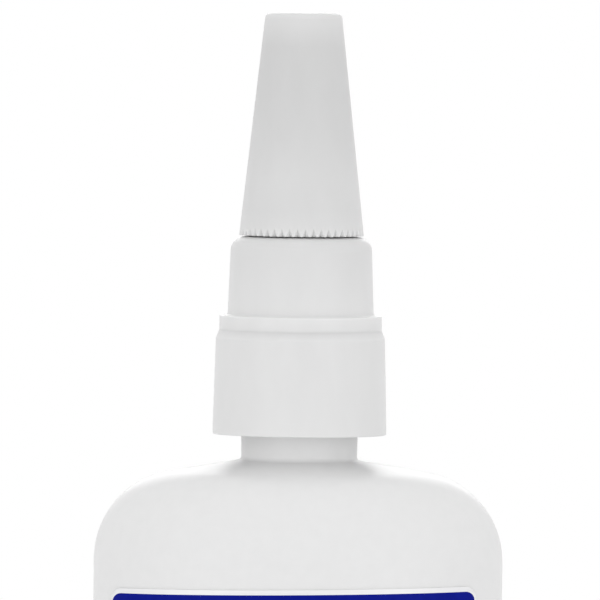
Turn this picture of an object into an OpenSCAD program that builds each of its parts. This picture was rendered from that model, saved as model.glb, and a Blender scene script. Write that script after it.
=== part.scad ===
// Super glue bottle: an oval squeeze bottle with a screw collar that clamps a
// dripping nozzle, and a tall tapered cap whose steel pin stops the nozzle.
// Millimetres. The origin is the middle of the base, +Z is up, the front faces -Y.

/* [Bottle] */
// Width of the body, side to side
body_w = 40; // [32:0.5:60]
// Depth of the body, front to back
body_d = 26; // [22:0.5:40]
// Height from the base to the foot of the neck
body_h = 80; // [55:1:120]
// Wall of the body
body_wall = 1.0; // [0.6:0.1:1.4]
// Fall of the shoulders below the horizontal, in degrees
shoulder_slope = 10; // [4:1:20]
// Radius of the turn from shoulder to side
shoulder_r = 8.75; // [5:0.25:10]
// Radius of the edge round the base
base_edge_r = 2.5; // [2:0.25:4]
// Width of the foot ring, measured at the sides
foot_ring = 3; // [2:0.25:5]
// Depth of the hollow under the base
push_up = 1.2; // [0.5:0.1:2.5]

/* [Neck] */
// Diameter of the neck at the root of its thread
neck_d = 11.4; // [10:0.1:14]
// Height of the neck above the shoulders
neck_h = 11.5; // [10:0.1:15]
// Bore of the neck
neck_bore_d = 8.4; // [6:0.1:9]
// Height of the neck's thread above its root
thread_h = 0.75; // [0.4:0.05:0.9]
// Chamfer round the rim of the neck
rim_chamfer = 0.3; // [0.1:0.05:0.5]
// How far the cone round the foot of the neck rises above the shoulders
neck_foot = 0.3; // [0.1:0.05:0.8]

/* [Label] */
// Width of the label, straight across
label_w = 35.6; // [20:0.1:36]
// Height of the label
label_h = 54.8; // [20:0.2:58]
// Height of the label's lower edge above the base
label_z = 13; // [5:0.5:20]
// How far the label is stuck on askew, its top leaning to the left, in degrees
label_tilt = 0.9; // [-3:0.1:3]
// Radius of the label's corners
label_corner_r = 1; // [0.5:0.25:4]
// Thickness of the label
label_t = 0.1; // [0.06:0.01:0.2]

/* [Adhesive] */
// Height of the liquid's surface above the base
fill_z = 68; // [20:1:70]
// Gap drawn between the liquid and the wall
fill_gap = 0.05; // [0.02:0.01:0.2]

/* [Nozzle] */
// Thickness of the flange that sits on the neck's rim
flange_t = 1.05; // [0.8:0.05:1.5]
// Length of the plug that seals the neck's bore
plug_h = 4; // [2:0.5:6]
// Wall of the plug
plug_wall = 0.9; // [0.6:0.1:1.2]
// Diameter of the stem that stands inside the tower
stem_d = 9.6; // [9.4:0.1:10.2]
// Diameter of the threaded stub at the root of its thread
stub_d = 7.8; // [7:0.1:8.2]
// Length of the threaded stub
stub_h = 5.6; // [4:0.2:7]
// Height of the stub's thread above its root
stub_thread_h = 0.6; // [0.3:0.05:0.8]
// Diameter of the spout at its foot
spout_d = 6.4; // [5:0.1:6.8]
// Diameter of the spout at its tip
tip_d = 2.6; // [2:0.1:3.2]
// Wall of the spout at its foot
spout_wall = 1.1; // [0.8:0.1:1.4]
// Bore of the tip
orifice_d = 1.0; // [0.8:0.05:1.2]
// Length of the tip's straight bore
orifice_h = 4; // [3.8:0.1:6]

/* [Screw collar] */
// Diameter of the deck ring
deck_d = 15.9; // [15.8:0.1:18]
// Height of the deck ring
deck_h = 1.45; // [1:0.05:2.5]
// Length of the skirt below the deck ring
skirt_h = 10.2; // [8:0.1:11]
// Diameter of the skirt just under its chamfer
skirt_top_d = 16.55; // [16.5:0.05:18]
// Diameter of the skirt at its lower rim
skirt_d = 17; // [16.6:0.1:19]
// Height of the chamfer at the top of the skirt
skirt_chamfer = 0.8; // [0.4:0.1:1.5]
// Bore of the skirt, outside the threaded sleeve
skirt_bore_d = 15.75; // [15.7:0.05:15.8]
// Height of the lip inside the lower rim of the skirt
lip_h = 0.85; // [0.5:0.05:1.5]
// How far the lip stands in from the skirt's bore
lip_in = 0.15; // [0.05:0.05:0.2]
// Outer diameter of the threaded sleeve
sleeve_d = 14.6; // [14.5:0.1:14.8]
// How much shorter the threaded sleeve is than the skirt
sleeve_short = 1; // [0.5:0.1:2]
// Diameter of the tower at its foot
tower_foot_d = 14.3; // [14:0.1:15.4]
// Diameter of the tower below its rounded shoulder
tower_top_d = 13.75; // [13.6:0.05:15]
// Height of the tower above the deck ring
tower_h = 7.7; // [5:0.1:12]
// Radius of the rounded shoulder at the tower's top
tower_r = 1.4; // [0.5:0.1:1.5]
// Bore of the tower, round the nozzle's stem
tower_bore_d = 11.6; // [11:0.1:12]
// Thickness of the tower's top
tower_roof = 1.2; // [0.8:0.1:1.5]

/* [Cap] */
// Diameter of the cap at its lower rim
cap_d = 12.2; // [12:0.1:13.5]
// Diameter of the cap at its top
cap_top_d = 7.45; // [7:0.05:9]
// Height of the cap
cap_h = 21.8; // [18:0.1:30]
// Wall of the cap above its thread
cap_wall = 0.85; // [0.7:0.05:1]
// Thickness of the cap's closed top
cap_roof = 1.1; // [0.8:0.1:2]
// Radius of the edge round the cap's top
cap_edge_r = 0.6; // [0.2:0.1:0.8]
// Number of teeth round the lower rim
tooth_count = 48; // [24:2:60]
// Height of the teeth
tooth_h = 0.8; // [0.4:0.05:1]
// How far the notches between the teeth reach in from the outside
tooth_depth = 0.45; // [0.3:0.05:1.2]
// How far the notches' valleys dip below the rim, which sets the flat on each tooth
tooth_land = 0.12; // [0.05:0.01:0.2]

/* [Pin] */
// Diameter of the steel pin
pin_d = 0.9; // [0.6:0.02:0.9]
// Length of the pin below its boss
pin_out = 3.4; // [2:0.1:3.6]
// Length of the pin held in its boss
pin_in = 2; // [1.5:0.1:2]
// Diameter of the boss that holds the pin
boss_d = 3; // [2:0.1:4]
// Length of the boss below the cap's roof
boss_h = 2.2; // [2:0.1:4]
// Height of the pin's point
pin_point = 0.3; // [0.1:0.05:0.4]

/* [Clearances] */
// Gap between faces that seat on each other
seat_gap = 0.05; // [0.02:0.01:0.1]
// Gap round the plug, the pin and the stem
running_gap = 0.05; // [0.02:0.01:0.1]
// Gap between a thread's crest and the wall it runs in
thread_gap = 0.15; // [0.1:0.05:0.2]
// Gap between the cap's teeth and the tower
tooth_gap = 0.12; // [0.1:0.02:0.3]

/* [Hidden] */
$fn = 96;
through = 1;    // how far a cutter runs past the face it cuts

HDPE = [0.93, 0.93, 0.93];
NATURAL = [0.88, 0.88, 0.88];
LABEL_BLUE = [0.09, 0.12, 0.61];
ADHESIVE = [0.90, 0.92, 0.95];
STEEL = [0.70, 0.71, 0.73];

// the body's outline is drawn at its full width, then squeezed to its depth
half_w = body_w / 2;
half_d = body_d / 2;
turn_x = half_w - shoulder_r;
turn_z = body_h - (turn_x + shoulder_r * sin(shoulder_slope) - neck_d / 2) * tan(shoulder_slope)
    - shoulder_r * cos(shoulder_slope);
apex_z = body_h + neck_d / 2 * tan(shoulder_slope);
hollow_r = half_w - base_edge_r - foot_ring;
push_r = (pow(hollow_r, 2) + pow(push_up, 2)) / (2 * push_up);

// heights of the closure, upwards from the neck's rim
rim_z = body_h + neck_h;
flange_z = rim_z + seat_gap;
deck_z = flange_z + flange_t + seat_gap;
tower_z = deck_z + deck_h;
tower_top_z = tower_z + tower_h;
stub_top_z = tower_top_z + stub_h;
cap_z = tower_top_z + tooth_gap;
cap_top_z = cap_z + cap_h;
cap_ceiling_z = cap_top_z - cap_roof;
boss_z = cap_ceiling_z - boss_h;
tip_z = boss_z - seat_gap;

// widths that follow from a fit
neck_thread_d = neck_d + 2 * thread_h;
collar_bore_d = neck_thread_d + 2 * thread_gap;
flange_d = collar_bore_d - 2 * running_gap;
plug_d = neck_bore_d - 2 * running_gap;
stub_thread_d = stub_d + 2 * stub_thread_h;
cap_bore_d = stub_thread_d + 2 * thread_gap;
cap_thread_z = stub_top_z + thread_gap;
cap_slope = (cap_d - cap_top_d) / 2 / cap_h;

// Radius of the cap's outside at height z
function cap_r(z) = cap_d / 2 - cap_slope * (z - cap_z);

// Half outline of the body, drawn in by inset all round
module body_outline(inset = 0) {
    foot_x = half_w - base_edge_r;
    turn_r = shoulder_r - inset;
    difference() {
        union() {
            polygon([
                [0, inset],
                [foot_x, inset],
                [half_w - inset, base_edge_r],
                [half_w - inset, turn_z],
                [turn_x + turn_r * sin(shoulder_slope), turn_z + turn_r * cos(shoulder_slope)],
                [0, apex_z - inset / cos(shoulder_slope)],
            ]);
            translate([foot_x, base_edge_r]) circle(r = base_edge_r - inset);
            translate([turn_x, turn_z]) circle(r = turn_r);
        }
        translate([0, push_up - push_r]) circle(r = push_r + inset);
    }
}

// Turns a half outline into the oval body by quarters, its depth drawn in by the same inset
module oval(inset = 0) {
    scale([1, (half_d - inset) / (half_w - inset), 1]) {
        for (quarter = [0:90:270]) {
            rotate([0, 0, quarter]) rotate_extrude(angle = 90) children();
        }
    }
}

// Quarter disc that rounds an outer corner, its centre at x, z
module corner(x, z, r) {
    translate([x, z]) intersection() {
        circle(r = r);
        square(r);
    }
}

// The neck's outside, with the cone at its foot that runs down into the shoulders
module neck_outline() {
    foot_z = body_h + neck_foot;
    root_z = turn_z + shoulder_r / 2;
    polygon([
        [0, root_z],
        [neck_d / 2 + foot_z - root_z, root_z],
        [neck_d / 2, foot_z],
        [neck_d / 2, rim_z - rim_chamfer],
        [neck_d / 2 - rim_chamfer, rim_z],
        [0, rim_z],
    ]);
}

module bottle() {
    color(HDPE) difference() {
        union() {
            oval() body_outline();
            rotate_extrude() neck_outline();
        }
        oval(body_wall) body_outline(body_wall);
        translate([0, 0, turn_z]) cylinder(d = neck_bore_d, h = rim_z - turn_z + through);
    }
}

// A straight oval block that stands out from the body by grow all round
module oval_block(grow) {
    scale([1, (half_d + grow) / (half_w + grow), 1]) cylinder(r = half_w + grow, h = body_h);
}

module front_label() {
    color(LABEL_BLUE) intersection() {
        difference() {
            oval_block(seat_gap + label_t);
            oval_block(seat_gap);
        }
        translate([0, 0, label_z + label_h / 2]) rotate([90, 0, 0]) rotate([0, 0, label_tilt])
            linear_extrude(half_d + seat_gap + label_t + through) label_shape();
    }
}

// The label laid flat round its middle
module label_shape() {
    r = label_corner_r;
    square([label_w - 2 * r, label_h], center = true);
    square([label_w, label_h - 2 * r], center = true);
    for (x = [-1, 1], y = [-1, 1]) {
        translate([x * (label_w / 2 - r), y * (label_h / 2 - r)]) circle(r = r);
    }
}

module adhesive() {
    inset = body_wall + fill_gap;
    color(ADHESIVE) oval(inset) intersection() {
        body_outline(inset);
        square([half_w, fill_z]);
    }
}

module nozzle() {
    plug_z = flange_z - plug_h;
    plug_lead = plug_wall / 2;
    throat_d = plug_d - 2 * plug_wall;
    spout_z = stub_top_z + (stub_d - spout_d) / 2;
    tip_round = tip_d / 8;
    color(NATURAL) rotate_extrude() polygon([
        [throat_d / 2, plug_z],
        [plug_d / 2 - plug_lead, plug_z],
        [plug_d / 2, plug_z + 2 * plug_lead],
        [plug_d / 2, flange_z],
        [flange_d / 2, flange_z],
        [flange_d / 2, flange_z + flange_t],
        [stem_d / 2, flange_z + flange_t],
        [stem_d / 2, tower_top_z],
        [stub_d / 2, tower_top_z],
        [stub_d / 2, stub_top_z],
        [spout_d / 2, spout_z],
        [tip_d / 2, tip_z - tip_round],
        [tip_d / 2 - tip_round, tip_z],
        [orifice_d / 2, tip_z],
        [orifice_d / 2, tip_z - orifice_h],
        [spout_d / 2 - spout_wall, spout_z],
        [throat_d / 2, tower_top_z],
    ]);
}

// Half section of the collar: tower, deck ring, skirt and the threaded sleeve inside it
module collar_outline() {
    skirt_z = deck_z - skirt_h;
    sleeve_z = skirt_z + sleeve_short;
    hole_r = stem_d / 2 + running_gap;
    round_z = tower_top_z - tower_r;
    round_x = tower_top_d / 2 - tower_r;
    polygon([
        [hole_r, tower_top_z],
        [hole_r, tower_top_z - tower_roof],
        [tower_bore_d / 2, tower_top_z - tower_roof],
        [tower_bore_d / 2, deck_z],
        [collar_bore_d / 2, deck_z],
        [collar_bore_d / 2, sleeve_z],
        [sleeve_d / 2, sleeve_z],
        [sleeve_d / 2, deck_z],
        [skirt_bore_d / 2, deck_z],
        [skirt_bore_d / 2, skirt_z + lip_h],
        [skirt_bore_d / 2 - lip_in, skirt_z + lip_h],
        [skirt_bore_d / 2 - lip_in, skirt_z],
        [skirt_d / 2, skirt_z],
        [skirt_d / 2, skirt_z + lip_h],
        [skirt_top_d / 2, deck_z - skirt_chamfer],
        [deck_d / 2, deck_z],
        [deck_d / 2, tower_z],
        [tower_foot_d / 2, tower_z],
        [tower_top_d / 2, round_z],
        [round_x, tower_top_z],
    ]);
    corner(round_x, round_z, tower_r);
}

module screw_collar() {
    color(NATURAL) rotate_extrude() collar_outline();
}

// Half section of the cap, with the boss that holds the pin
module cap_outline() {
    round_x = cap_r(cap_top_z) - cap_edge_r;
    round_z = cap_top_z - cap_edge_r;
    hole_r = pin_d / 2 + running_gap;
    hole_z = boss_z + pin_in + seat_gap;
    polygon([
        [cap_bore_d / 2, cap_z],
        [cap_r(cap_z), cap_z],
        [cap_r(round_z), round_z],
        [round_x, cap_top_z],
        [0, cap_top_z],
        [0, hole_z],
        [hole_r, hole_z],
        [hole_r, boss_z],
        [boss_d / 2, boss_z],
        [boss_d / 2, cap_ceiling_z],
        [cap_r(cap_ceiling_z) - cap_wall, cap_ceiling_z],
        [cap_r(cap_thread_z) - cap_wall, cap_thread_z],
        [cap_bore_d / 2, cap_thread_z],
    ]);
    corner(round_x, round_z, cap_edge_r);
}

// What is cut away between the teeth: a crown whose peaks run down inwards, so that each notch
// ends tooth_depth inside the rim. Its valleys dip below the rim and leave a land on each tooth.
module tooth_cutter() {
    reach = 1.2;
    steps = 2 * tooth_count;
    hub_z = tooth_h * (1 - cap_d / 2 / tooth_depth);
    peak_z = hub_z + reach * (tooth_h - hub_z);
    valley_z = hub_z + reach * (-tooth_land - hub_z);
    rim = [for (i = [0:steps - 1]) [
        reach * cap_d / 2 * cos(i * 360 / steps),
        reach * cap_d / 2 * sin(i * 360 / steps),
        i % 2 == 0 ? valley_z : peak_z
    ]];
    floor_z = hub_z - through;
    points = concat(
        [[0, 0, hub_z], [0, 0, floor_z]],
        rim,
        [for (p = rim) [p.x, p.y, floor_z]]
    );
    faces = [for (i = [0:steps - 1]) let (
        a = 2 + i,
        b = 2 + (i + 1) % steps,
        c = a + steps,
        d = b + steps
    ) each [[0, b, a], [a, b, d], [a, d, c], [1, c, d]]];
    translate([0, 0, cap_z]) polyhedron(points, faces);
}

module cap() {
    color(NATURAL) difference() {
        rotate_extrude() cap_outline();
        tooth_cutter();
    }
}

module cap_pin() {
    color(STEEL) rotate_extrude() polygon([
        [0, boss_z - pin_out],
        [pin_d / 6, boss_z - pin_out],
        [pin_d / 2, boss_z - pin_out + pin_point],
        [pin_d / 2, boss_z + pin_in],
        [0, boss_z + pin_in],
    ]);
}

bottle();
front_label();
adhesive();
nozzle();
screw_collar();
cap();
cap_pin();
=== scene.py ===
"""Looks of the super glue bottle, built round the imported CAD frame. Metres."""

import math

import bpy
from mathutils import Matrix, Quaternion, Vector


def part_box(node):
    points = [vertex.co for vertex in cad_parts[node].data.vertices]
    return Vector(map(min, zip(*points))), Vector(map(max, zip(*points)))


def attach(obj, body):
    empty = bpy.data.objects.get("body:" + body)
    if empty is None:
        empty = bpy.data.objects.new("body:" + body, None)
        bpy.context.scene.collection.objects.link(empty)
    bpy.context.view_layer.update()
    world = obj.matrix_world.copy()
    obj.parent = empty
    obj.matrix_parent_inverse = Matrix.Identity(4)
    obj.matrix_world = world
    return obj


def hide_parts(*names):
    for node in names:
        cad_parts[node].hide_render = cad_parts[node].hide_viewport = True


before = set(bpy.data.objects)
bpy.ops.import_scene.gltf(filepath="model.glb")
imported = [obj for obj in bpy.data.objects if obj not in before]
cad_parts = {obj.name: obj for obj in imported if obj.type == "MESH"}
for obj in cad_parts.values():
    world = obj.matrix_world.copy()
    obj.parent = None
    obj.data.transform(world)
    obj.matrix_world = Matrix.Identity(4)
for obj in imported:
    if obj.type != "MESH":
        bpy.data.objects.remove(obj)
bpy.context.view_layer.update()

MM = 0.001
TAU = 2 * math.pi

# ---------------------------------------------------------------- sizes

_, BOTTLE_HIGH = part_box("bottle")
LABEL_LOW, LABEL_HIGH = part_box("front_label")
NOZZLE_LOW, NOZZLE_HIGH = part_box("nozzle")
COLLAR_LOW, COLLAR_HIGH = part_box("screw_collar")
CAP_LOW, CAP_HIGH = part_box("cap")
PIN_LOW, PIN_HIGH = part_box("cap_pin")

# clearances
SEAT_GAP = 0.05 * MM  # between faces that seat on each other
RUNNING_GAP = 0.05 * MM  # round the plug and the stem
PIN_GAP = 0.02 * MM  # round the pin in its boss
THREAD_GAP = 0.15 * MM  # between a thread's crest and the wall it runs in

# body of the bottle
HALF_W = BOTTLE_HIGH.x
HALF_D = BOTTLE_HIGH.y
RIM_Z = BOTTLE_HIGH.z
NECK_H = 11.5 * MM
BODY_H = RIM_Z - NECK_H
WALL = 1.0 * MM
BASE_EDGE_R = 2.5 * MM
FOOT_RING = 3 * MM
HOLLOW_R = HALF_W - BASE_EDGE_R - FOOT_RING  # half width of the hollow under the base
PUSH_UP = 1.2 * MM
NECK_R = 5.7 * MM
NECK_BORE_R = 4.2 * MM
RIM_EDGE_R = 0.3 * MM
BORE_FILLET_R = 0.3 * MM  # where the neck's bore opens into the body
NECK_WALL_Z = BODY_H + 2.5 * MM  # where the mesh of the neck's straight wall begins

# shoulders, with the centre of their turn into the sides
SLOPE = math.radians(10)
SHOULDER_R = 8.75 * MM
SHOULDER_X = HALF_W - SHOULDER_R
SHOULDER_FALL = (SHOULDER_X + SHOULDER_R * math.sin(SLOPE) - NECK_R) * math.tan(SLOPE)
SHOULDER_Z = BODY_H - SHOULDER_FALL - SHOULDER_R * math.cos(SLOPE)
NECK_FILLET_R = 0.35 * MM  # round the neck's foot, at the sides
NECK_FILLET_MORE = 0.15 * MM  # how much larger that is in front and behind
FOOT_END_R = 9.5 * MM  # how far out the shoulder is lifted so that the neck's foot is level

# the bottle's moulded surface and the parting seam up both sides
SKIN = 0.04 * MM  # how far the surface lies inside the CAD solid, so that the seam fits in
SEAM_HALF = 0.22 * MM  # half the width of the seam
PINCH_H = 3 * SKIN  # how far the seam stands out across the hollow under the base
PINCH_END = 3 * MM  # how far inside the foot ring it has that height

# screw threads: the lead is what one turn lifts
NECK_LEAD = 2.117 * MM
NECK_THREAD_Z = BODY_H + 4.4 * MM
NECK_THREAD_H = 0.75 * MM
CAP_LEAD = 3.0 * MM
CAP_STARTS = 2
CAP_TURNS = 1.3
CAP_THREAD_LOW = 1.0 * MM  # from the stub's foot up to its thread
CAP_THREAD_H = 0.6 * MM
THREAD_CREST = 0.3 * MM  # width of the crest of the cap's thread, in the cap and on the stub
FADE_TURNS = 0.08  # the part of a turn in which a thread runs out
ON_ROOT = 0.02 * MM  # how near its root's radius a point still belongs to a thread

# nozzle
FLANGE_Z = RIM_Z + SEAT_GAP
FLANGE_T = 1.05 * MM
FLANGE_R = NOZZLE_HIGH.x
PLUG_R = NECK_BORE_R - RUNNING_GAP
PLUG_WALL = 0.9 * MM
STEM_R = 4.8 * MM
STUB_R = 3.9 * MM
STUB_H = 5.6 * MM
SPOUT_R = 3.2 * MM
SPOUT_WALL = 1.1 * MM
TIP_R = 1.3 * MM
ORIFICE_R = 0.5 * MM
ORIFICE_H = 4 * MM

# screw collar
DECK_R = 7.95 * MM
DECK_H = 1.45 * MM
DECK_EDGE_R = 0.3 * MM
DECK_Z = FLANGE_Z + FLANGE_T + SEAT_GAP
TOWER_Z = DECK_Z + DECK_H
TOWER_TOP_Z = COLLAR_HIGH.z
TOWER_FOOT_R = 7.15 * MM
TOWER_FILLET_R = 0.3 * MM  # round the tower's foot
TOWER_TOP_R = 6.875 * MM
TOWER_EDGE_R = 1.4 * MM
TOWER_BORE_R = 5.8 * MM
TOWER_ROOF = 1.2 * MM
SKIRT_Z = COLLAR_LOW.z
SKIRT_R = COLLAR_HIGH.x
SKIRT_TOP_R = 8.275 * MM
SKIRT_CHAMFER = 0.8 * MM
SKIRT_BEND_R = 0.6 * MM  # between the skirt and its chamfer
SKIRT_EDGE_R = 0.12 * MM
SKIRT_BORE_R = 7.875 * MM
LIP_H = 0.85 * MM
LIP_IN = 0.15 * MM
SLEEVE_R = 7.3 * MM
SLEEVE_SHORT = 1 * MM  # how much shorter the threaded sleeve is than the skirt
SLEEVE_Z = SKIRT_Z + SLEEVE_SHORT
COLLAR_BORE_R = NECK_R + NECK_THREAD_H + THREAD_GAP

# cap
CAP_Z = CAP_LOW.z
CAP_TOP_Z = CAP_HIGH.z
CAP_R = CAP_HIGH.x
CAP_TOP_R = 3.725 * MM
CAP_TAPER = (CAP_R - CAP_TOP_R) / (CAP_TOP_Z - CAP_Z)
CAP_EDGE_R = 0.6 * MM
CAP_RIM_R = 0.04 * MM
CAP_WALL = 0.85 * MM
CAP_ROOF = 1.1 * MM
CAP_CEILING_Z = CAP_TOP_Z - CAP_ROOF
CAP_BORE_R = STUB_R + CAP_THREAD_H + THREAD_GAP
CAP_THREAD_TOP = TOWER_TOP_Z + STUB_H + THREAD_GAP
BOSS_R = 1.5 * MM
BOSS_H = 2.2 * MM
PIN_POINT_H = 0.3 * MM
GATE_R = 0.7 * MM
GATE_DEPTH = 0.1 * MM

# teeth round the cap's lower rim
TEETH = 48
TOOTH_H = 0.8 * MM
TOOTH_DEPTH = 0.45 * MM  # how far the notches reach in from the outside
TOOTH_LAND = 0.12 * MM  # how far the notches' valleys dip below the rim, which leaves a flat
TOOTH_FADE = 1.5 * TOOTH_H  # height above the rim at which the notches no longer bend the mesh
TOOTH_ROWS = 4  # mesh rows across the depth of a notch
TOOTH_COLUMNS = 8  # mesh columns to a tooth

# label
LABEL_W = 35.6 * MM
LABEL_H = 54.8 * MM
LABEL_TILT = math.radians(0.9)
LABEL_CORNER_R = 1 * MM
LABEL_T = 0.08 * MM
LABEL_GAP = 0.02 * MM
LABEL_SIDE = 0.15 * MM  # unprinted edge at the sides
LABEL_END = 0.5 * MM  # unprinted edge at the top and the bottom

# meshes
NECK_STEP = 0.11 * MM  # between rows across the neck's thread
CAP_STEP = 0.1 * MM  # between rows across the cap's thread
FLAT_STEP = 0.06 * MM  # from the end of a round edge to the row that keeps the flat beside it flat
BODY_COLUMNS = 176
NOZZLE_COLUMNS = 128
COLLAR_COLUMNS = 192
PIN_COLUMNS = 32
LABEL_COLUMNS = 72
LABEL_ROWS = 30  # between the round corners
LABEL_CORNER_ROWS = 8
LABEL_BORDER_ROWS = 4
FOOT_SHARES = (0.1, 0.5, 0.97)  # places of the rows across the foot ring
SLOPE_SHARES = (0.15, 0.3, 0.45, 0.6, 0.75, 0.88, 0.97)  # and of those up the shoulder

# camera
CAMERA_DISTANCE = 1.8
CAMERA_Z = 0.1522
CLIP_END = 50
VIEW_Z = 0.0956  # height at the middle of the view
VIEW_X = -0.00008
VIEW_WIDTH = 0.0587  # what the view spans at the bottle's axis
VIEW_ROLL = math.radians(0.6)
SENSOR = 36

# stage and light
FLOOR_HALF = 30.0
FLOOR_NEAR = 0.06  # how far from the object the floor begins to turn plain white
FLOOR_FAR = 0.5  # where it has turned white
WORLD_LIGHT = 0.84
LAMP_AIM = Vector((0, 0, 0.09))


# ---------------------------------------------------------------- camera

def make_camera():
    """A camera in front of the bottle, a little higher than its cap."""
    data = bpy.data.cameras.new("camera")
    camera = bpy.data.objects.new("camera", data)
    bpy.context.scene.collection.objects.link(camera)
    camera.location = (VIEW_X, -CAMERA_DISTANCE, CAMERA_Z)
    target = Vector((VIEW_X, 0, VIEW_Z))
    away = target - camera.location
    roll = Quaternion((0, 0, 1), VIEW_ROLL)
    camera.rotation_euler = (away.to_track_quat("-Z", "Y") @ roll).to_euler()
    data.sensor_width = SENSOR
    data.lens = SENSOR * away.length / VIEW_WIDTH
    data.clip_end = CLIP_END
    bpy.context.scene.camera = camera


# ---------------------------------------------------------------- mesh helpers

def smoothstep(low, high, value):
    """0 up to low, 1 from high on, with a smooth rise between them."""
    t = min(1.0, max(0.0, (value - low) / (high - low)))
    return t * t * (3 - 2 * t)


def new_object(name, vertices, faces):
    mesh = bpy.data.meshes.new(name)
    mesh.from_pydata(vertices, [], faces)
    mesh.validate()
    mesh.update()
    for polygon in mesh.polygons:
        polygon.use_smooth = True
    piece = bpy.data.objects.new(name, mesh)
    bpy.context.scene.collection.objects.link(piece)
    return piece


def arc(centre, radius, start, end, steps):
    """Points on an arc in the (r, z) plane, from one angle to the other, ends included."""
    points = []
    for i in range(steps + 1):
        angle = start + (end - start) * i / steps
        points.append((centre[0] + radius * math.cos(angle), centre[1] + radius * math.sin(angle)))
    return points


def between(first, last, shares):
    """Points on the line from one (r, z) point to another, at these shares of its length."""
    (r0, z0), (r1, z1) = first, last
    return [(r0 + (r1 - r0) * t, z0 + (z1 - z0) * t) for t in shares]


def rounded_path(corners, steps=4, closed=False):
    """A path in the (r, z) plane through corners of (r, z, radius). Each corner with a radius
    becomes an arc, with a support point just outside each end to keep the flats flat."""
    path = []
    count = len(corners)
    for i, (r, z, radius) in enumerate(corners):
        here = Vector((r, z))
        at_end = not closed and i in (0, count - 1)
        if radius == 0 or at_end:
            path.append((r, z))
            continue
        before = Vector(corners[i - 1][:2]) - here
        after = Vector(corners[(i + 1) % count][:2]) - here
        turn = math.pi - before.angle(after)
        reach = radius * math.tan(turn / 2)
        support = min(FLAT_STEP, (before.length - reach) / 3, (after.length - reach) / 3)
        before.normalize()
        after.normalize()
        first = here + before * reach
        last = here + after * reach
        middle = here + (before + after).normalized() * radius / math.cos(turn / 2)
        path.append(tuple(first + before * support))
        start = first - middle
        cross = start.cross(last - middle)
        for step in range(steps + 1):
            angle = math.copysign(turn, cross) * step / steps
            c, s = math.cos(angle), math.sin(angle)
            path.append((middle.x + c * start.x - s * start.y, middle.y + s * start.x + c * start.y))
        path.append(tuple(last + after * support))
    return path


def refine(path, low, high, step, r_low, r_high=math.inf):
    """Adds points to the steep stretches of a path that lie between two heights and two radii, so
    that a thread or teeth can be cut in."""
    dense = [path[0]]
    for (r0, z0), (r1, z1) in zip(path, path[1:]):
        steep = abs(z1 - z0) > 2 * abs(r1 - r0)
        inside = low <= min(z0, z1) and max(z0, z1) <= high and r_low <= r0 <= r_high
        count = max(1, round(abs(z1 - z0) / step)) if steep and inside else 1
        dense += between((r0, z0), (r1, z1), [i / count for i in range(1, count + 1)])
    return dense


def revolve(name, columns, column, closed=False):
    """Joins columns of points round the Z axis. column(i) gives column i's points, from the same path.
    An open path starts and ends on the axis, where its end points meet in one vertex."""
    rings = [column(i) for i in range(columns)]
    rows = len(rings[0])
    first, last = (0, rows) if closed else (1, rows - 1)
    vertices = [ring[row] for row in range(first, last) for ring in rings]
    height = last - first
    faces = []
    for row in range(height if closed else height - 1):
        below = row * columns
        above = ((row + 1) % height) * columns
        for i in range(columns):
            j = (i + 1) % columns
            faces.append((below + i, below + j, above + j, above + i))
    if not closed:
        for pole, row, flip in ((rings[0][0], 0, True), (rings[0][-1], height - 1, False)):
            centre = len(vertices)
            vertices.append(pole)
            for i in range(columns):
                j = (i + 1) % columns
                edge = (row * columns + i, row * columns + j)
                faces.append((edge[1], edge[0], centre) if flip else (edge[0], edge[1], centre))
    return new_object(name, vertices, faces)


def turned(path, angle):
    """The 3-D points of a path turned to an angle."""
    c, s = math.cos(angle), math.sin(angle)
    return [(r * c, r * s, z) for r, z in path]


def revolve_path(name, columns, path, change=None, closed=False):
    """Turns one path round the Z axis. change(r, z, angle) may move a point."""
    def column(i):
        angle = TAU * i / columns
        return turned([change(r, z, angle) for r, z in path] if change else path, angle)

    return revolve(name, columns, column, closed)


class Thread:
    """A right-hand thread that starts at height low and climbs for some turns. It is root wide at
    its foot and crest wide at its top."""

    def __init__(self, low, turns, lead, starts, root, crest, height):
        self.low = low
        self.turns = turns
        self.lead = lead
        self.starts = starts
        self.root = root
        self.crest = crest
        self.height = height

    def at(self, z, angle):
        """Height of the thread over its root at a height and an angle."""
        best = 0.0
        for start in range(self.starts):
            turn = (angle / TAU + start / self.starts) % 1
            nearest = turn + round((z - self.low) / self.lead - turn)
            for u in (nearest - 1, nearest, nearest + 1):
                if not 0 <= u <= self.turns:
                    continue
                away = abs(z - self.low - u * self.lead)
                flank = 1 - smoothstep(self.crest / 2, self.root / 2, away)
                fade = smoothstep(0, FADE_TURNS, u) * smoothstep(0, FADE_TURNS, self.turns - u)
                best = max(best, self.height * flank * fade)
        return best


# ---------------------------------------------------------------- bottle

def squeeze(angle, inset):
    """How much nearer the oval is to the axis in one direction than at the sides."""
    ratio = (HALF_D - inset) / (HALF_W - inset)
    return 1 / math.hypot(math.cos(angle), math.sin(angle) / ratio)


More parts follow.
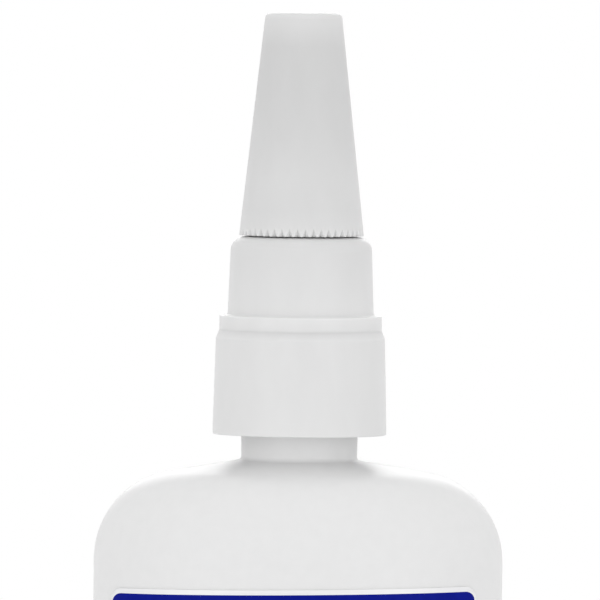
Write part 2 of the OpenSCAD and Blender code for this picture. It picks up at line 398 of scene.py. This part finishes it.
def body_path(inset, k, neck_r, fillet):
    """Half outline of the oval body in a direction where it is squeezed by k, from the middle
    of the base to the foot of the neck, drawn in by inset."""
    hollow_steps = 16
    side_steps = 24
    foot_x = HALF_W - BASE_EDGE_R
    push_r = (HOLLOW_R ** 2 + PUSH_UP ** 2) / (2 * PUSH_UP)
    hollow = []
    for i in range(hollow_steps + 1):
        x = HOLLOW_R * i / hollow_steps
        hollow.append((x, PUSH_UP - push_r + math.sqrt((push_r + inset) ** 2 - x * x)))
    hollow[-1] = (HOLLOW_R, max(hollow[-1][1], inset))
    foot = between((HOLLOW_R, inset), (foot_x, inset), FOOT_SHARES)
    base = arc((foot_x, BASE_EDGE_R), BASE_EDGE_R - inset, -math.pi / 2, 0, steps=10)
    side_h = SHOULDER_Z - BASE_EDGE_R
    side = [(HALF_W - inset, BASE_EDGE_R + side_h * i / side_steps) for i in range(1, side_steps)]
    turn = arc((SHOULDER_X, SHOULDER_Z), SHOULDER_R - inset, 0, math.pi / 2 - SLOPE, steps=22)
    path = [(x * k, z) for x, z in hollow + foot + base + side + turn]

    slope = math.tan(SLOPE) / k
    steep = math.atan(slope)
    reach = fillet * math.tan((math.pi / 2 - steep) / 2)
    foot_z = BODY_H + NECK_R * math.tan(SLOPE) - inset / math.cos(SLOPE) - neck_r * slope
    fillet_start = (neck_r + reach * math.cos(steep), foot_z - reach * math.sin(steep))
    path += between(path[-1], fillet_start, SLOPE_SHARES)
    path += arc((neck_r + fillet, foot_z + reach), fillet, -math.pi / 2 - steep, -math.pi, steps=8)
    return path


def seam(angle, r):
    """Share of the parting seam's height at a point, 1 on its crest. The seam runs up both sides."""
    away = abs(math.sin(angle)) * r
    return math.cos(min(1.0, away / SEAM_HALF) * math.pi / 2) ** 2


def bottle_outside(angle):
    """Half outline of the bottle's outer surface in one direction, with the seam, up to the neck."""
    k = squeeze(angle, SKIN)
    fillet = NECK_FILLET_R + NECK_FILLET_MORE * abs(math.sin(angle))
    # the oval's shoulders would meet the neck lower by this much than at the sides
    lift = NECK_R * (1 / k - 1) * math.tan(SLOPE)
    path = []
    for r, z in body_path(SKIN, k, NECK_R - SKIN, fillet):
        share = seam(angle, r)
        if z > SHOULDER_Z:
            z += lift * (1 - smoothstep(NECK_R, FOOT_END_R, r))
        if z > PUSH_UP + BASE_EDGE_R:
            r += SKIN * share * min(1.0, r / HALF_W)
            z += SKIN * share * smoothstep(SHOULDER_Z, BODY_H, z)
        elif r < HOLLOW_R * k:
            z -= PINCH_H * share * smoothstep(0, PINCH_END, HOLLOW_R * k - r)
        path.append((r, z))
    return path


def neck_path():
    """Outline of the neck from its outside over the rim into the bore, without the last point,
    because the body's inner outline goes on from there."""
    path = rounded_path([
        (NECK_R - SKIN, NECK_WALL_Z, 0),
        (NECK_R - SKIN, RIM_Z, RIM_EDGE_R),
        (NECK_BORE_R, RIM_Z, RIM_EDGE_R / 2),
        (NECK_BORE_R, BODY_H, 0),
    ])
    return refine(path, BODY_H, RIM_Z, NECK_STEP, NECK_R - 2 * SKIN)[:-1]


def bottle_angles():
    """Directions of the mesh's columns: even round the oval, with extra ones at the two seams."""
    ratio = HALF_D / HALF_W
    even = [TAU * (i + 0.5) / BODY_COLUMNS for i in range(BODY_COLUMNS)]
    angles = [math.atan2(ratio * math.sin(t), math.cos(t)) for t in even]
    for side in (0, math.pi):
        angles += [side + n * SEAM_HALF / HALF_W / 2 for n in range(-3, 4)]
    return sorted(a % TAU for a in angles)


def make_bottle():
    thread = Thread(
        low=NECK_THREAD_Z, turns=2.3, lead=NECK_LEAD, starts=1,
        root=1.25 * MM, crest=0.5 * MM, height=NECK_THREAD_H,
    )
    angles = bottle_angles()
    neck = neck_path()

    def column(i):
        angle = angles[i]
        points = bottle_outside(angle)
        for r, z in neck:
            if r > NECK_R - 2 * SKIN:
                r += max(thread.at(z, angle), SKIN * seam(angle, r))
            points.append((r, z))
        inside = body_path(WALL, squeeze(angle, WALL), NECK_BORE_R, BORE_FILLET_R)
        return turned(points + inside[::-1], angle)

    piece = revolve("bottle_shell", len(angles), column)
    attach(piece, "bottle_body")
    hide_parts("bottle")
    return piece


# ---------------------------------------------------------------- label

def on_label(u, v, out):
    """The place on the oval of a point of the flat label, drawn from its middle and then tilted."""
    x = u * math.cos(LABEL_TILT) - v * math.sin(LABEL_TILT)
    z = u * math.sin(LABEL_TILT) + v * math.cos(LABEL_TILT) + (LABEL_LOW.z + LABEL_HIGH.z) / 2
    y = (HALF_D - SKIN + out) * math.sqrt(max(0.0, 1 - (x / (HALF_W - SKIN + out)) ** 2))
    return x, -y, z


def label_half_width(v, side, end):
    """Half width at height v of the label's outline, drawn in at the sides and at the ends."""
    r = LABEL_CORNER_R - side
    dip = max(0.0, r - (LABEL_H / 2 - end - abs(v)))
    return LABEL_W / 2 - side - r + math.sqrt(max(0.0, r * r - dip * dip))


def eased(distance, steps):
    """Steps from 0 towards a distance, close together at first, as round a quarter circle."""
    return [distance * (1 - math.cos(i * math.pi / 2 / steps)) for i in range(steps)]


def label_heights():
    """Heights of the mesh's rows from the label's middle, with more rows at the round corners."""
    top = LABEL_H / 2
    edge = eased(LABEL_END, LABEL_BORDER_ROWS)
    edge += [LABEL_END + step for step in eased(LABEL_CORNER_R, LABEL_CORNER_ROWS)]
    edge.append(LABEL_END + LABEL_CORNER_R)
    heights = [e - top for e in edge]
    heights += [(top - edge[-1]) * (2 * i / LABEL_ROWS - 1) for i in range(1, LABEL_ROWS)]
    heights += [top - e for e in reversed(edge)]
    return heights


def label_row(v):
    """Places across the label at height v: its two edges, and even steps between them."""
    wide = label_half_width(v, 0, 0)
    narrow = wide - LABEL_SIDE
    if abs(v) <= LABEL_H / 2 - LABEL_END:
        narrow = label_half_width(v, LABEL_SIDE, LABEL_END)
    inner = [narrow * (2 * i / LABEL_COLUMNS - 1) for i in range(LABEL_COLUMNS + 1)]
    return [-wide] + inner + [wide]


def label_faces(across, rows):
    """Faces of the film's front, back and rim, and for each one whether it is printed."""
    back = across * rows
    printed_rows = range(LABEL_BORDER_ROWS, rows - 1 - LABEL_BORDER_ROWS)
    faces = []
    printed = []
    for row in range(rows - 1):
        for i in range(across - 1):
            a = row * across + i
            quad = (a, a + 1, a + 1 + across, a + across)
            faces.append(quad)
            printed.append(row in printed_rows and 0 < i < across - 2)
            faces.append(tuple(back + v for v in reversed(quad)))
            printed.append(False)
    rim = list(range(across))
    rim += [row * across + across - 1 for row in range(1, rows)]
    rim += [(rows - 1) * across + i for i in range(across - 2, -1, -1)]
    rim += [row * across for row in range(rows - 2, 0, -1)]
    for a, b in zip(rim, rim[1:] + rim[:1]):
        faces.append((b, a, back + a, back + b))
        printed.append(False)
    return faces, printed


def make_label():
    """A thin film on the front of the oval, with a printed field inside an unprinted border."""
    rows = [(v, label_row(v)) for v in label_heights()]
    vertices = []
    for out in (LABEL_GAP + LABEL_T, LABEL_GAP):
        vertices += [on_label(u, v, out) for v, row in rows for u in row]
    faces, printed = label_faces(len(rows[0][1]), len(rows))
    piece = new_object("label_film", vertices, faces)
    piece.data.materials.append(film_material())
    piece.data.materials.append(print_material())
    for polygon, inked in zip(piece.data.polygons, printed):
        polygon.material_index = 1 if inked else 0
    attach(piece, "bottle_body")
    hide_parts("front_label")
    return piece


# ---------------------------------------------------------------- nozzle

def make_nozzle():
    plug_z = NOZZLE_LOW.z
    tip_z = NOZZLE_HIGH.z
    stub_top = TOWER_TOP_Z + STUB_H
    spout_z = stub_top + STUB_R - SPOUT_R
    throat_r = PLUG_R - PLUG_WALL
    thread = Thread(
        low=TOWER_TOP_Z + CAP_THREAD_LOW, turns=CAP_TURNS, lead=CAP_LEAD, starts=CAP_STARTS,
        root=0.85 * MM, crest=THREAD_CREST, height=CAP_THREAD_H,
    )
    path = rounded_path([
        (throat_r, plug_z, 0.1 * MM),
        (PLUG_R - PLUG_WALL / 2, plug_z, 0.1 * MM),
        (PLUG_R, plug_z + PLUG_WALL, 0.2 * MM),
        (PLUG_R, FLANGE_Z, 0.05 * MM),
        (FLANGE_R, FLANGE_Z, 0.15 * MM),
        (FLANGE_R, FLANGE_Z + FLANGE_T, 0.15 * MM),
        (STEM_R, FLANGE_Z + FLANGE_T, 0.2 * MM),
        (STEM_R, TOWER_TOP_Z, 0.12 * MM),
        (STUB_R, TOWER_TOP_Z, 0.15 * MM),
        (STUB_R, stub_top, 0.15 * MM),
        (SPOUT_R, spout_z, 0.3 * MM),
        (TIP_R, tip_z, 0.3 * MM),
        (ORIFICE_R, tip_z, 0.08 * MM),
        (ORIFICE_R, tip_z - ORIFICE_H, 0.5 * MM),
        (SPOUT_R - SPOUT_WALL, spout_z, 1 * MM),
        (throat_r, TOWER_TOP_Z, 1 * MM),
    ], closed=True)
    path = refine(path, TOWER_TOP_Z, stub_top, CAP_STEP, STUB_R - ON_ROOT, STUB_R + ON_ROOT)

    def change(r, z, angle):
        if abs(r - STUB_R) < ON_ROOT:
            r += thread.at(z, angle)
        return r, z

    piece = revolve_path("nozzle_body", NOZZLE_COLUMNS, path, change, closed=True)
    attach(piece, "nozzle_body")
    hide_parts("nozzle")
    return piece


# ---------------------------------------------------------------- screw collar

def make_collar():
    thread = Thread(
        low=NECK_THREAD_Z + NECK_LEAD / 2, turns=2.2, lead=NECK_LEAD, starts=1,
        root=1.2 * MM, crest=0.45 * MM, height=NECK_THREAD_H,
    )
    hole_r = STEM_R + RUNNING_GAP
    path = rounded_path([
        (hole_r, TOWER_TOP_Z, 0.08 * MM),
        (hole_r, TOWER_TOP_Z - TOWER_ROOF, 0.08 * MM),
        (TOWER_BORE_R, TOWER_TOP_Z - TOWER_ROOF, 0.3 * MM),
        (TOWER_BORE_R, DECK_Z, 0.1 * MM),
        (COLLAR_BORE_R, DECK_Z, 0.15 * MM),
        (COLLAR_BORE_R, SLEEVE_Z, 0.15 * MM),
        (SLEEVE_R, SLEEVE_Z, 0.1 * MM),
        (SLEEVE_R, DECK_Z, 0.1 * MM),
        (SKIRT_BORE_R, DECK_Z, 0.1 * MM),
        (SKIRT_BORE_R, SKIRT_Z + LIP_H, 0.05 * MM),
        (SKIRT_BORE_R - LIP_IN, SKIRT_Z + LIP_H, 0.05 * MM),
        (SKIRT_BORE_R - LIP_IN, SKIRT_Z, 0.08 * MM),
        (SKIRT_R, SKIRT_Z, SKIRT_EDGE_R),
        (SKIRT_R, SKIRT_Z + LIP_H, 0.3 * MM),
        (SKIRT_TOP_R, DECK_Z - SKIRT_CHAMFER, SKIRT_BEND_R),
        (DECK_R, DECK_Z, DECK_EDGE_R),
        (DECK_R, TOWER_Z, DECK_EDGE_R / 2),
        (TOWER_FOOT_R, TOWER_Z, TOWER_FILLET_R),
        (TOWER_TOP_R, TOWER_TOP_Z, TOWER_EDGE_R),
    ], steps=6, closed=True)
    path = refine(path, SLEEVE_Z, DECK_Z, NECK_STEP, COLLAR_BORE_R - ON_ROOT, COLLAR_BORE_R + ON_ROOT)

    def change(r, z, angle):
        if abs(r - COLLAR_BORE_R) < ON_ROOT:
            r -= thread.at(z, angle)
        return r, z

    piece = revolve_path("collar_shell", COLLAR_COLUMNS, path, change, closed=True)
    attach(piece, "collar_body")
    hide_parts("screw_collar")
    return piece


# ---------------------------------------------------------------- cap and pin

def cap_outside(z):
    """Radius of the cap's outside at height z."""
    return CAP_R - CAP_TAPER * (z - CAP_Z)


def tooth_edge(r, angle):
    """How high the lower rim is notched at a point: a zigzag round the outside, whose notches run out
    TOOTH_DEPTH inside it."""
    phase = (angle / TAU * TEETH) % 1
    zigzag = 1 - abs(2 * phase - 1)
    edge = zigzag * (TOOTH_H + TOOTH_LAND) - TOOTH_LAND
    hub = TOOTH_H * (1 - CAP_R / TOOTH_DEPTH)
    return max(0.0, hub + (edge - hub) * r / CAP_R)


def make_cap():
    pin_r = PIN_HIGH.x + PIN_GAP
    hole_z = PIN_HIGH.z + SEAT_GAP
    boss_z = CAP_CEILING_Z - BOSS_H
    plain_z = CAP_Z + 2 * TOOTH_H
    thread = Thread(
        low=TOWER_TOP_Z + CAP_THREAD_LOW + CAP_LEAD / CAP_STARTS / 2, turns=CAP_TURNS,
        lead=CAP_LEAD, starts=CAP_STARTS, root=0.8 * MM, crest=THREAD_CREST, height=CAP_THREAD_H,
    )
    path = rounded_path([
        (0, CAP_TOP_Z - GATE_DEPTH, 0),
        (GATE_R / 2, CAP_TOP_Z - GATE_DEPTH, 0.1 * MM),
        (GATE_R, CAP_TOP_Z, 0.3 * MM),
        (CAP_TOP_R, CAP_TOP_Z, CAP_EDGE_R),
        (cap_outside(plain_z), plain_z, 0),
        (CAP_R, CAP_Z, CAP_RIM_R),
        *[(CAP_R - TOOTH_DEPTH * i / TOOTH_ROWS, CAP_Z, 0) for i in range(1, TOOTH_ROWS + 1)],
        (CAP_BORE_R, CAP_Z, CAP_RIM_R),
        (CAP_BORE_R, CAP_Z + 1.2 * TOOTH_H, 0),
        (CAP_BORE_R, CAP_THREAD_TOP, 0.1 * MM),
        (cap_outside(CAP_THREAD_TOP) - CAP_WALL, CAP_THREAD_TOP, 0.1 * MM),
        (cap_outside(CAP_CEILING_Z) - CAP_WALL, CAP_CEILING_Z, 0.3 * MM),
        (BOSS_R, CAP_CEILING_Z, 0.2 * MM),
        (BOSS_R, boss_z, 0.15 * MM),
        (pin_r, boss_z, 0.1 * MM),
        (pin_r, hole_z, 0.05 * MM),
        (0, hole_z, 0),
    ], steps=5)
    path = refine(path, CAP_Z, plain_z, CAP_STEP, CAP_BORE_R + ON_ROOT)
    path = refine(path, CAP_Z, CAP_THREAD_TOP, CAP_STEP, CAP_BORE_R - ON_ROOT, CAP_BORE_R + ON_ROOT)

    def change(r, z, angle):
        lift = 0.0
        if z - CAP_Z < TOOTH_FADE:
            lift = tooth_edge(r, angle) * (1 - (z - CAP_Z) / TOOTH_FADE)
        if abs(r - CAP_BORE_R) < ON_ROOT:
            return r - thread.at(z + lift, angle), z + lift
        return r - CAP_TAPER * lift, z + lift

    piece = revolve_path("cap_shell", TEETH * TOOTH_COLUMNS, path, change)
    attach(piece, "cap_body")
    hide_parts("cap")
    return piece


def make_pin():
    r = PIN_HIGH.x
    path = rounded_path([
        (0, PIN_LOW.z, 0),
        (r / 3, PIN_LOW.z, 0.1 * MM),
        (r, PIN_LOW.z + PIN_POINT_H, 0.1 * MM),
        (r, PIN_HIGH.z, 0.05 * MM),
        (0, PIN_HIGH.z, 0),
    ])
    piece = revolve_path("steel_pin", PIN_COLUMNS, path)
    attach(piece, "pin_body")
    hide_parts("cap_pin")
    return piece


# ---------------------------------------------------------------- materials

def grey(value):
    return (value, value, value)


def set_inputs(node, values):
    for name, value in values.items():
        node.inputs[name].default_value = value


def new_material(name):
    material = bpy.data.materials.new(name)
    material.use_nodes = True
    nodes, links = material.node_tree.nodes, material.node_tree.links
    return material, nodes, links, nodes["Principled BSDF"]


def add_bump(nodes, links, shader, scale, strength, distance, detail, stretch):
    """Noise bump in object space, for peel and flow marks."""
    place = nodes.new("ShaderNodeTexCoord")
    mapping = nodes.new("ShaderNodeMapping")
    noise = nodes.new("ShaderNodeTexNoise")
    bump = nodes.new("ShaderNodeBump")
    set_inputs(mapping, {"Scale": stretch})
    set_inputs(noise, {"Scale": scale, "Detail": detail})
    set_inputs(bump, {"Strength": strength, "Distance": distance})
    links.new(place.outputs["Object"], mapping.inputs["Vector"])
    links.new(mapping.outputs["Vector"], noise.inputs["Vector"])
    links.new(noise.outputs["Fac"], bump.inputs["Height"])
    links.new(bump.outputs["Normal"], shader.inputs["Normal"])
    return noise


def tint(nodes, links, shader, noise, dark, light):
    """Base colour that follows the noise. Nearly all of the noise lies between the two stops."""
    ramp = nodes.new("ShaderNodeValToRGB")
    for stop, position, colour in zip(ramp.color_ramp.elements, (0.3, 0.7), (dark, light)):
        stop.position = position
        stop.color = (*colour, 1)
    links.new(noise.outputs["Fac"], ramp.inputs["Fac"])
    links.new(ramp.outputs["Color"], shader.inputs["Base Color"])


def paint_light_and_shade_by_height(nodes, links, shader, tones):
    """Paints light and shade along the height: multiplies the tint by grey tones, pairs of (z, tone)
    from the lowest up.
    """
    low, high = tones[0][0], tones[-1][0]
    place = nodes.new("ShaderNodeTexCoord")
    axes = nodes.new("ShaderNodeSeparateXYZ")
    share = nodes.new("ShaderNodeMapRange")
    set_inputs(share, {"From Min": low, "From Max": high})
    ramp = nodes.new("ShaderNodeValToRGB")
    stops = ramp.color_ramp.elements
    while len(stops) < len(tones):
        stops.new(1.0)
    for stop, (z, tone) in zip(stops, tones):
        stop.position = (z - low) / (high - low)
        stop.color = (*grey(tone), 1)
    blend = nodes.new("ShaderNodeMix")
    blend.data_type = "RGBA"
    blend.blend_type = "MULTIPLY"
    set_inputs(blend, {"Factor": 1.0})
    tinted, toned = [socket for socket in blend.inputs if socket.type == "RGBA"]
    result = next(socket for socket in blend.outputs if socket.type == "RGBA")
    links.new(place.outputs["Object"], axes.inputs["Vector"])
    links.new(axes.outputs["Z"], share.inputs["Value"])
    links.new(share.outputs["Result"], ramp.inputs["Fac"])
    links.new(shader.inputs["Base Color"].links[0].from_socket, tinted)
    links.new(ramp.outputs["Color"], toned)
    links.new(result, shader.inputs["Base Color"])


def surface(
    name, dark, light, scale, strength, distance, settings, detail=2, stretch=(1, 1, 1), tones=(),
):
    """A material with a noise bump, a tint between two colours that follows the same noise, and
    painted light and shade as grey tones along the height where it has them."""
    material, nodes, links, shader = new_material(name)
    noise = add_bump(nodes, links, shader, scale, strength, distance, detail, stretch)
    tint(nodes, links, shader, noise, dark, light)
    if tones:
        paint_light_and_shade_by_height(nodes, links, shader, tones)
    set_inputs(shader, settings)
    return material


def hdpe_material():
    """White blown polyethylene: satin, faintly translucent, with a fine peel."""
    return surface(
        "white_hdpe", dark=grey(0.825), light=grey(0.84),
        scale=900, strength=0.06, distance=0.04 * MM, detail=3,
        settings={
            "Roughness": 0.38,
            "Specular IOR Level": 0.15,
            "Subsurface Weight": 0.25,
            "Subsurface Radius": (1, 1, 1),
            "Subsurface Scale": 0.8 * MM,
        },
    )


def natural_material(name, roughness, tones):
    """Natural moulded plastic: milky, with fine flow marks along the part. Its tones are painted light
    and shade that stand in for light through the milky plastic: painted light where it is thin at an
    edge or has more plastic behind it, painted shade over a hollow. tones says how light it is at some
    heights, from the lowest up."""
    return surface(
        name, dark=grey(0.98), light=grey(1),
        scale=500, strength=0.05, distance=0.04 * MM, stretch=(1, 1, 0.35), tones=tones,
        settings={
            "Roughness": roughness,
            "Specular IOR Level": 0.2,
            "Subsurface Weight": 0.5,
            "Subsurface Radius": (1, 1, 1),
            "Subsurface Scale": 0.6 * MM,
        },
    )


def nozzle_material():
    """One even tone."""
    return natural_material("nozzle_natural", 0.4, [
        (NOZZLE_LOW.z, 0.84),
        (NOZZLE_HIGH.z, 0.84),
    ])


def collar_material():
    """Painted light where the skirt has the threaded sleeve behind it, painted shade growing darker up
    the tower.
    """
    return natural_material("collar_natural", 0.42, [
        (SKIRT_Z, 0.80),
        (TOWER_Z, 0.81),
        (TOWER_Z + 0.3 * (TOWER_TOP_Z - TOWER_Z), 0.79),
        (TOWER_TOP_Z, 0.755),
    ])


def cap_material():
    """Painted light at the teeth and the closed top, painted shade darkest round the narrow end of the
    spout.
    """
    return natural_material("cap_natural", 0.42, [
        (CAP_Z, 0.81),
        (CAP_Z + TOOTH_H, 0.765),
        (CAP_Z + 2.5 * MM, 0.742),
        (CAP_Z + STUB_H, 0.742),
        (CAP_Z + 9.5 * MM, 0.71),
        (CAP_TOP_Z - 8 * MM, 0.686),
        (CAP_CEILING_Z - BOSS_H, 0.686),
        (CAP_CEILING_Z, 0.75),
        (CAP_TOP_Z, 0.76),
    ])


def film_material():
    """The label's film where it has no print: white and satin."""
    return surface(
        "label_film_white", dark=(0.86, 0.86, 0.87), light=(0.88, 0.88, 0.89),
        scale=1500, strength=0.05, distance=0.02 * MM,
        settings={"Roughness": 0.3},
    )


def print_material():
    """Dark blue print, satin."""
    return surface(
        "label_print_blue", dark=(0.002, 0.007, 0.23), light=(0.003, 0.009, 0.26),
        scale=1200, strength=0.06, distance=0.02 * MM,
        settings={"Roughness": 0.45, "Specular IOR Level": 0.05},
    )


def steel_material():
    """Drawn steel, with fine marks along the pin."""
    return surface(
        "drawn_steel", dark=(0.55, 0.56, 0.58), light=(0.66, 0.67, 0.69),
        scale=4000, strength=0.15, distance=0.01 * MM, stretch=(1, 1, 0.05),
        settings={"Metallic": 1.0, "Roughness": 0.28},
    )


def liquid_material():
    """Clear liquid adhesive."""
    return surface(
        "clear_adhesive", dark=(0.93, 0.95, 0.96), light=(0.95, 0.97, 0.98),
        scale=60, strength=0.05, distance=0.1 * MM,
        settings={"Roughness": 0.03, "Transmission Weight": 1.0, "IOR": 1.45},
    )


# ---------------------------------------------------------------- stage and light

def math_node(nodes, links, operation, first, second):
    """One step of arithmetic on two sockets."""
    node = nodes.new("ShaderNodeMath")
    node.operation = operation
    links.new(first, node.inputs[0])
    links.new(second, node.inputs[1])
    return node.outputs[0]


def mix_shaders(nodes, links, factor, first, second, output):
    """Sends the output the first shader where the factor is 0 and the second where it is 1."""
    mix = nodes.new("ShaderNodeMixShader")
    links.new(factor, mix.inputs["Fac"])
    links.new(first, mix.inputs[1])
    links.new(second, mix.inputs[2])
    links.new(mix.outputs["Shader"], output.inputs["Surface"])


def floor_material():
    """A pale matt floor. The camera and reflections see it as plain white, but for the ground near
    the object, where the object's shadow shows."""
    material, nodes, links, shader = new_material("pale_floor")
    set_inputs(shader, {"Base Color": (*grey(0.86), 1), "Roughness": 0.9})
    white = nodes.new("ShaderNodeEmission")
    set_inputs(white, {"Color": (1, 1, 1, 1), "Strength": 1.0})
    rays = nodes.new("ShaderNodeLightPath").outputs
    seen = math_node(nodes, links, "MAXIMUM", rays["Is Camera Ray"], rays["Is Glossy Ray"])
    place = nodes.new("ShaderNodeTexCoord")
    distance = nodes.new("ShaderNodeVectorMath")
    distance.operation = "LENGTH"
    links.new(place.outputs["Object"], distance.inputs[0])
    far = nodes.new("ShaderNodeMapRange")
    far.interpolation_type = "SMOOTHSTEP"
    set_inputs(far, {"From Min": FLOOR_NEAR, "From Max": FLOOR_FAR})
    links.new(distance.outputs["Value"], far.inputs["Value"])
    factor = math_node(nodes, links, "MULTIPLY", seen, far.outputs["Result"])
    output = nodes["Material Output"]
    mix_shaders(nodes, links, factor, shader.outputs["BSDF"], white.outputs["Emission"], output)
    return material


def make_floor():
    half = FLOOR_HALF
    corners = [(-half, -half, 0), (half, -half, 0), (half, half, 0), (-half, half, 0)]
    floor = new_object("floor", corners, [(0, 1, 2, 3)])
    floor.data.materials.append(floor_material())


def make_world():
    """Even white light. The camera sees it as plain white, straight or through the liquid."""
    world = bpy.data.worlds.new("studio")
    bpy.context.scene.world = world
    world.use_nodes = True
    nodes, links = world.node_tree.nodes, world.node_tree.links
    light = nodes["Background"]
    set_inputs(light, {"Color": (1, 1, 1, 1), "Strength": WORLD_LIGHT})
    white = nodes.new("ShaderNodeBackground")
    set_inputs(white, {"Color": (1, 1, 1, 1), "Strength": 1.0})
    rays = nodes.new("ShaderNodeLightPath").outputs
    seen = math_node(nodes, links, "MAXIMUM", rays["Is Camera Ray"], rays["Is Transmission Ray"])
    output = nodes["World Output"]
    mix_shaders(nodes, links, seen, light.outputs["Background"], white.outputs["Background"], output)


def make_lamp(name, place, width, height, power):
    """A softbox that looks at the middle of the object and is out of the camera's sight."""
    data = bpy.data.lights.new(name, "AREA")
    data.shape = "RECTANGLE"
    data.size = width
    data.size_y = height
    data.energy = power
    lamp = bpy.data.objects.new(name, data)
    bpy.context.scene.collection.objects.link(lamp)
    lamp.location = place
    lamp.rotation_euler = (LAMP_AIM - Vector(place)).to_track_quat("-Z", "Y").to_euler()
    lamp.visible_camera = False


def make_lights():
    """Two long low softboxes in front, to the left and right, one above and one behind."""
    for name, x in (("left_softbox", -0.75), ("right_softbox", 0.75)):
        make_lamp(name, place=(x, -0.89, 0.06), width=0.7, height=0.12, power=1.4)
    make_lamp("top_softbox", place=(0, 0.1, 0.75), width=0.6, height=0.6, power=0.25)
    make_lamp("back_softbox", place=(0, 0.8, 0.38), width=0.5, height=0.4, power=1.3)


# ---------------------------------------------------------------- the scene

bpy.context.scene.view_settings.view_transform = "Standard"
make_camera()
make_world()
make_lights()
make_floor()

make_bottle().data.materials.append(hdpe_material())
make_label()
make_nozzle().data.materials.append(nozzle_material())
make_collar().data.materials.append(collar_material())
make_cap().data.materials.append(cap_material())
make_pin().data.materials.append(steel_material())

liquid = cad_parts["adhesive"]
liquid.data.materials.clear()
liquid.data.materials.append(liquid_material())
